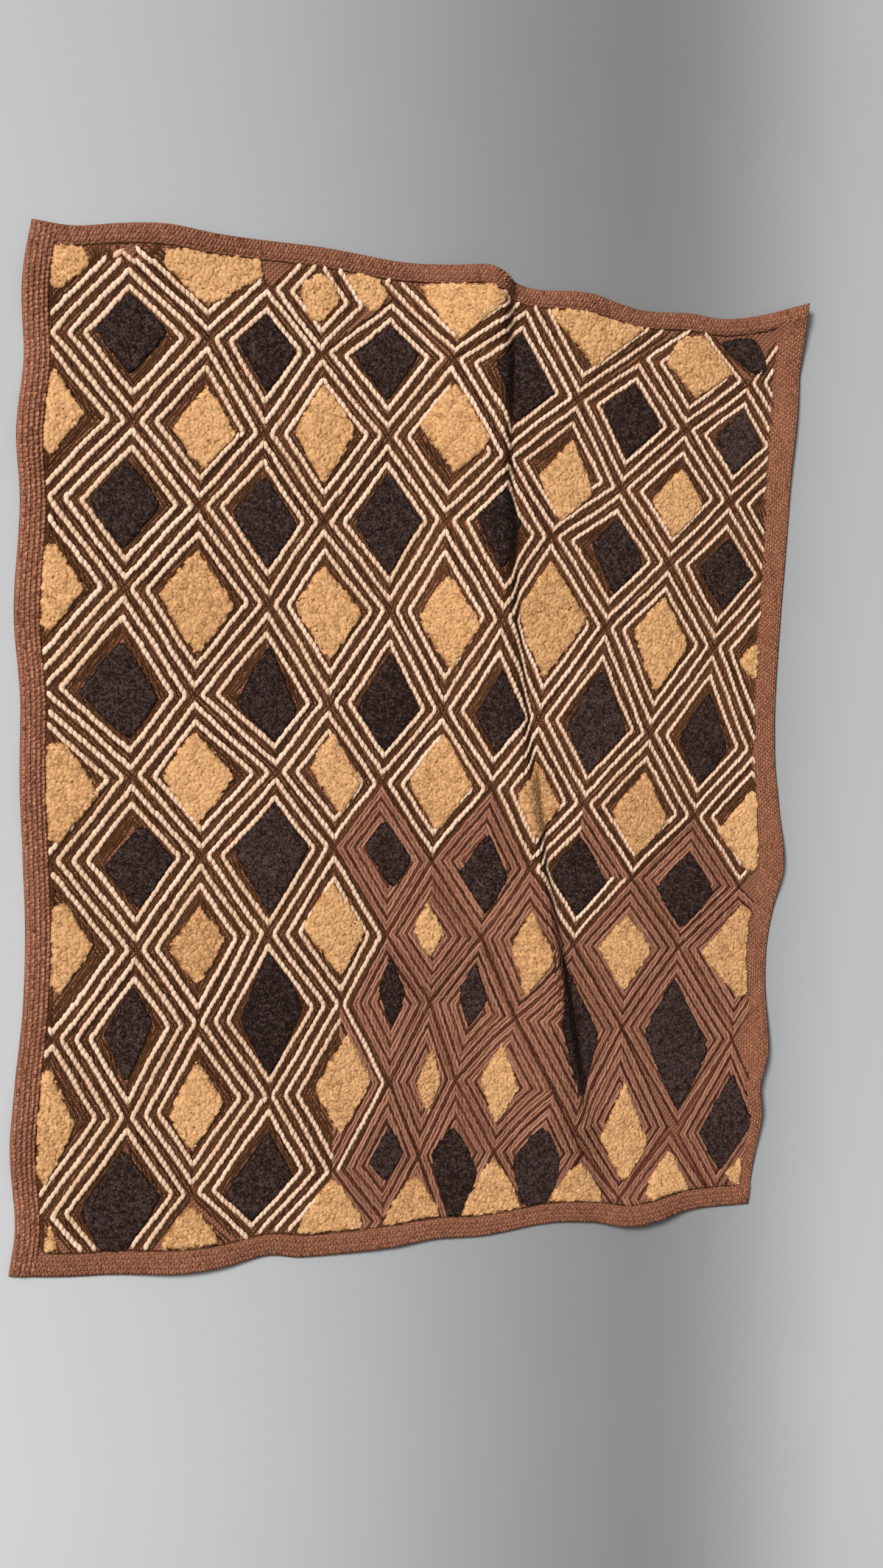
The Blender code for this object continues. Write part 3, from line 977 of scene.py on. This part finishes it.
def kept_strips(rows, margin, clear_of):
    """The rows' strips that lie on the field and clear of the pile, all together."""
    strips = joined_strips(rows)
    keep = depth_in_field(strips.x, strips.y) > margin
    for patch in clear_of:
        keep &= depth_in_patch(patch, strips.x, strips.y) < UNDER_PILE
    return Strips(*(column[keep] for column in strips))


CREAM_STITCH = StitchKind(3.4, 3.5, 1.35, 0.2, 0.3, 16)
# The stitches get narrower from left to right, by this much for each millimetre.
CREAM_NARROWING = 0.0026
TOP_LEFT_TURN = (((42.5, 565), (47, 567.2)), ((47, 567.2), (54.6, 562.4)), ((54.5, 570), (63.4, 563.6)))

cream_lines = list(TOP_LEFT_TURN)
for cell in cells:
    for inset, dyes in zip(CREAM_INSETS, (cell.outer, cell.inner)):
        cream_lines.extend(rows_of_dye(cell, inset, dyes, "c"))
cream_rows = []
for start, end in cream_lines:
    width = CREAM_STITCH.width - CREAM_NARROWING * start[0]
    cream_rows.append(stitches_along(start, end, CREAM_STITCH._replace(width=width)))
cream_strips = kept_strips(cream_rows, 1.0, tan_patches)

cream_finish = strip_material(
    "undyed cream raffia", (0.86, 0.63, 0.48, 1.0), (0.50, 0.28, 0.16, 1.0), (0.34, 0.20, 0.07, 1.0),
    0.3, 0.2,
)
cream_outlines = dressed_strips("cream_outlines", cream_strips, STEM_STITCH, cream_finish)


# Dark brown rows: finer stem stitch between the cream rows, beside the lattice's own lines and round both
# kinds of pile, with slivers of the red brown ground left between them.
BROWN_STITCH = StitchKind(5.6, 1.9, 0.8, 0.3, 0.2, 8)
# Rows nearer to the lattice's lines than this take the outer row's dye.
OUTER_REACH = 5.0
BROWN_INSETS = (1.0, 5.7, 7.5)
BROWN_INSETS_TAN = (12.1, 14.0, 15.9, 17.8, 19.7)
BROWN_INSETS_BLACK = (12.0, 13.7, 15.4, 17.1)
CORNER_ROWS = (
    ((31.5, 561), (31.5, 570)), ((33.4, 562), (33.4, 570)), ((35.3, 563), (35.3, 570)),
    ((37.2, 564), (37.2, 570)), ((39.1, 565), (39.1, 570)), ((58, 569.5), (69, 562.7)),
    ((60, 571.5), (69, 566)), ((63, 572.5), (69, 569)), ((410, 554), (441, 534)), ((413, 555), (443, 536)),
)

brown_lines = list(CORNER_ROWS)
for cell in cells:
    for inset in BROWN_INSETS + (BROWN_INSETS_BLACK if cell.level % 2 else BROWN_INSETS_TAN):
        dyes = cell.outer if inset < OUTER_REACH else cell.inner
        brown_lines.extend(rows_of_dye(cell, inset, dyes, "cd"))
all_patches = tan_patches + black_patches
brown_strips = kept_strips([stitches_along(*line, BROWN_STITCH) for line in brown_lines], 0.8, all_patches)
brown_outlines = dressed_strips("brown_outlines", brown_strips, SLIM_STITCH, dark_finish)


# Rust rows: at the lower right the outlines are worked in rust dyed raffia instead, in pairs, with a thin
# row of deeper rust between one pair and the next.
RUST_STITCH = StitchKind(4.9, 1.9, 0.95, 0.25, 0.15, 5)
DIVIDER_STITCH = StitchKind(4.6, 2.1, 1.2, 0.5, 0.1, 0)
RUST_PAIR = (1.9, 3.75)
DIVIDER_INSET = 0.2
RUST_REPEAT = 5.1
RUST_REPEATS = 5

rust_rows = []
divider_rows = []
for cell in cells:
    for repeat in range(RUST_REPEATS):
        dyes = cell.inner if repeat else cell.outer
        for inset in RUST_PAIR:
            for row in rows_of_dye(cell, repeat * RUST_REPEAT + inset, dyes, "r"):
                rust_rows.append(stitches_along(*row, RUST_STITCH))
        for row in rows_of_dye(cell, repeat * RUST_REPEAT + DIVIDER_INSET, dyes, "r"):
            divider_rows.append(stitches_along(*row, DIVIDER_STITCH))
rust_strips = kept_strips(rust_rows, 0.8, all_patches)
divider_strips = kept_strips(divider_rows, 0.8, all_patches)

rust_finish = strip_material(
    "rust dyed raffia", (0.51, 0.24, 0.15, 1.0), (0.15, 0.055, 0.03, 1.0), (0.09, 0.035, 0.02, 1.0),
    0.45, 0.35,
)
deep_rust_finish = strip_material(
    "deep rust raffia", (0.18, 0.058, 0.03, 1.0), (0.05, 0.016, 0.008, 1.0), (0.04, 0.013, 0.007, 1.0),
    0.4, 0.2,
)
rust_outlines = dressed_strips("rust_outlines", rust_strips, ROUND_STITCH, rust_finish)
rust_dividers = dressed_strips("rust_dividers", divider_strips, SLIM_STITCH, deep_rust_finish)


# Cut pile: strips of raffia drawn under a warp thread and cut off close on both sides, packed into velvet
# diamonds. The black patches are dyed, and the tan ones are nearly undyed and stand a little taller.
PileKind = namedtuple("PileKind", "tip_step height rounding tuft ragged reach tone mottle")
TAN = PileKind(0.78, 2.4, 0.9, 2.9, 1.5, 1.2, 0.18, 0.35)
BLACK = PileKind(0.82, 1.9, 1.2, 1.9, 0.9, 0.9, 0.55, 0.3)
# The share of tips cut too low, and how wide the clefts between tufts are.
PITS = 0.02
CLEFT = 0.45
# How far in from a patch's edge its rim reaches full height, and how far stitches and hems lap over it.
RIM_RUN = 0.7
UNDER_HEM = 0.6


def tufts(x, y, size):
    """A share from 0 to 1 for the tuft that each place is in, and how much nearer that is than the next."""
    row, column = y / size, x / size
    row, column = row - row.min() + 1, column - column.min() + 1
    i, j = row.astype(int), column.astype(int)
    middle_up, middle_across, share = rng.random((3, i.max() + 2, j.max() + 2))
    nearest = np.full(x.shape, 9.0)
    second = nearest.copy()
    chosen = np.zeros_like(x)
    for a in (i - 1, i, i + 1):
        for b in (j - 1, j, j + 1):
            away = np.hypot(a + middle_up[a, b] - row, b + middle_across[a, b] - column)
            second = np.where(away < nearest, nearest, np.minimum(second, away))
            chosen = np.where(away < nearest, share[a, b], chosen)
            nearest = np.minimum(nearest, away)
    return chosen, (second - nearest) * size


def crust(patch, pile, first):
    """One patch: a fine uneven net of tips over its outline, let down at its ragged rim into the cloth."""
    step = pile.tip_step
    places = np.array(patch[0])
    low, high = places.min(axis=0) - 2, places.max(axis=0) + 2
    x, y = np.meshgrid(np.arange(low[0], high[0], step), np.arange(low[1], high[1], step * 0.87))
    x = x + step / 2 * (np.arange(len(x)) % 2)[:, None] + rng.normal(0.0, step * 0.14, x.shape)
    y = y + rng.normal(0.0, step * 0.14, y.shape)
    bunch, apart = tufts(x, y, pile.tuft)
    cleft = np.exp(-apart / CLEFT)
    depth = depth_within(patch[0], x, y, pile.rounding) + pile.reach
    if len(patch) > 1:
        depth = np.minimum(depth, depth_in_patch(patch[1:], x, y) + UNDER_PILE)
    depth = np.minimum(depth, depth_in_field(x, y) + UNDER_HEM)
    depth = depth - pile.ragged * bunch
    pit = rng.random(x.shape) < PITS
    tip = rng.normal(1.0, 0.08, x.shape) + 0.2 * (bunch - 0.5) - 0.35 * pit - 0.3 * cleft
    rim = 1 - 0.75 * np.exp(-np.maximum(depth, 0) / RIM_RUN)
    rise = np.where(depth > 0, pile.height * rim * tip, -0.5)
    tone = pile.tone + rng.normal(0.0, 0.05) + rng.normal(0.0, 0.16, x.shape) + pile.mottle * (bunch - 0.5)
    # Tips in pits, in the clefts between tufts and at the rim are darkened: painted shade.
    tone = np.clip(tone + 0.8 * pit + 0.35 * cleft + 0.25 * (depth < 0.9), 0.0, 1.0)
    index = np.arange(x.size).reshape(x.shape)
    a, b, c, d = index[:-1, :-1], index[:-1, 1:], index[1:, 1:], index[1:, :-1]
    even = (np.arange(len(x) - 1) % 2 == 0)[:, None]
    first_half = np.stack([a, b, np.where(even, d, c)], axis=-1)
    second_half = np.stack([np.where(even, b, a), c, d], axis=-1)
    faces = np.concatenate([first_half.reshape(-1, 3), second_half.reshape(-1, 3)])
    faces = faces[(depth.ravel()[faces] > 0).any(axis=1)]
    used, faces = np.unique(faces, return_inverse=True)
    origin, normals, _, _ = face_of_cloth(x.ravel()[used], y.ravel()[used])
    points = origin + normals * rise.ravel()[used][:, None]
    return points, faces.reshape(-1, 3) + first, tone.ravel()[used]


def pile_mesh(name, patches, pile):
    """All the patches of one pile as one mesh, each tip with its own tone, darkened as painted shade in
    pits, clefts and at the rim.
    """
    crusts = []
    first = 0
    for patch in patches:
        crusts.append(crust(patch, pile, first))
        first += len(crusts[-1][0])
    points, faces, tones = (np.concatenate(some) for some in zip(*crusts))
    mesh = mesh_from(name, points * MM + PANEL_CORNER, [faces])
    set_tones(mesh, tones)
    return mesh


def pile_material(name, light, dark, soil, patches, sheen):
    """Cut ends of raffia, light or dark by their tone, which also carries painted shade in pits, clefts and
    at the rim, with finer specks on them.
    """
    material, tree, surface = new_surface(name, 0.95, sheen)
    place = put(tree, "TexCoord").outputs["Object"]
    ends = put(tree, "TexNoise", {"Scale": 2600.0, "Detail": 2.0, "Roughness": 0.7, "Vector": place})
    tone = put(tree, "Attribute", {"attribute_name": "tone"}).outputs["Fac"]
    speckle = put(tree, "MapRange", {0: ends.outputs[0], 1: 0.4, 2: 0.8, 3: 0.0, 4: 0.5})
    share = worked(tree, "ADD", tone, speckle.outputs[0])
    share.node.use_clamp = True
    colour = soiled(tree, mixed(tree, share, light, dark), soil, patches, 0.12)
    finish_surface(tree, surface, colour, ends.outputs[0], 0.6, 0.0004)
    return material


tan_pile = dressed(
    "tan_pile",
    pile_mesh("tan_pile", tan_patches, TAN),
    pile_material("tan raffia pile", (0.82, 0.475, 0.22, 1.0), (0.22, 0.09, 0.028, 1.0),
                  (0.36, 0.16, 0.06, 1.0), 0.25, 0.03),
)
black_pile = dressed(
    "black_pile",
    pile_mesh("black_pile", black_patches, BLACK),
    pile_material("black raffia pile", (0.15, 0.093, 0.077, 1.0), (0.009, 0.004, 0.003, 1.0),
                  (0.02, 0.010, 0.008, 1.0), 0.3, 0.0),
)


# Floor: a plain grey studio surface, flat, with painted shading: its grey goes softly darker and lighter
# again from left to right, and a little darker towards the top.
FLOOR_HALF = 3.0
FLOOR_DROP = 0.0006
# The ramp's first two stops are there already, at its ends, and the others are added between them.
FloorStop = namedtuple("FloorStop", "across grey")
# These ramp stops, and the levels and slant below, paint shading on the floor, not its own grey.
FLOOR_SHADE_ENDS = table(FloorStop, ((0.22, 0.455), (1.0, 0.42)))
FLOOR_SHADE_STOPS = table(FloorStop, ((0.42, 0.38), (0.61, 0.17), (0.70, 0.22), (0.80, 0.48)))
FLOOR_TOP_SHADE_LEVEL, FLOOR_BOTTOM_SHADE_LEVEL = 0.84, 1.14
FLOOR_TOP, FLOOR_BOTTOM = 0.42, -0.42
FLOOR_SHADE_SLANT = 0.06


def floor_material():
    """Matt grey, with painted shading from a soft ramp across the floor and a slight change of level up it.
    """
    material, tree, surface = new_surface("grey studio floor with painted shading", 0.75, 0.0)
    place = put(tree, "TexCoord").outputs["Object"]
    axes = put(tree, "SeparateXYZ", {0: place})
    slanted = worked(tree, "MULTIPLY_ADD", axes.outputs[1], FLOOR_SHADE_SLANT, axes.outputs[0])
    ramp = put(tree, "ValToRGB", {0: worked(tree, "ADD", slanted, 0.5)})
    elements = ramp.color_ramp.elements
    ramp.color_ramp.interpolation = "B_SPLINE"
    for element, stop in zip(elements, FLOOR_SHADE_ENDS):
        element.position = stop.across
        element.color = (stop.grey, stop.grey * 1.01, stop.grey * 1.015, 1.0)
    for stop in FLOOR_SHADE_STOPS:
        elements.new(stop.across).color = (stop.grey, stop.grey * 1.01, stop.grey * 1.015, 1.0)
    ends = {1: FLOOR_BOTTOM, 2: FLOOR_TOP, 3: FLOOR_BOTTOM_SHADE_LEVEL, 4: FLOOR_TOP_SHADE_LEVEL}
    level = put(tree, "MapRange", {0: axes.outputs[1], **ends})
    painted_shading = put(tree, "VectorMath", {"operation": "SCALE", 0: ramp.outputs[0], 3: level.outputs[0]})
    tree.links.new(painted_shading.outputs[0], surface.inputs["Base Color"])
    return material


floor_points = np.array([
    (-FLOOR_HALF, -FLOOR_HALF, -FLOOR_DROP), (FLOOR_HALF, -FLOOR_HALF, -FLOOR_DROP),
    (FLOOR_HALF, FLOOR_HALF, -FLOOR_DROP), (-FLOOR_HALF, FLOOR_HALF, -FLOOR_DROP),
])
floor = placed("floor", mesh_from("floor", floor_points, [np.array([[0, 1, 2, 3]])]))
floor.data.materials.append(floor_material())


# Light: one broad soft light from the upper left, turned to the middle of the cloth, and an even dim room
# round it.
LIGHT_PLACE = Vector((-3.3, 2.0, 3.6))
LIGHT_SIZE = 1.2
LIGHT_POWER = 410.0
ROOM_STRENGTH = 0.3

key_light = placed("key_light", bpy.data.lights.new("key_light", "AREA"))
key_light.data.shape = "SQUARE"
key_light.data.size = LIGHT_SIZE
key_light.data.energy = LIGHT_POWER
key_light.location = LIGHT_PLACE
key_light.rotation_euler = (-LIGHT_PLACE).to_track_quat("-Z", "Y").to_euler()

room = bpy.data.worlds.new("room")
bpy.context.scene.world = room
room.use_nodes = True
room.node_tree.nodes["Background"].inputs["Color"].default_value = (1.0, 1.0, 1.0, 1.0)
room.node_tree.nodes["Background"].inputs["Strength"].default_value = ROOM_STRENGTH
bpy.context.scene.view_settings.view_transform = "Standard"
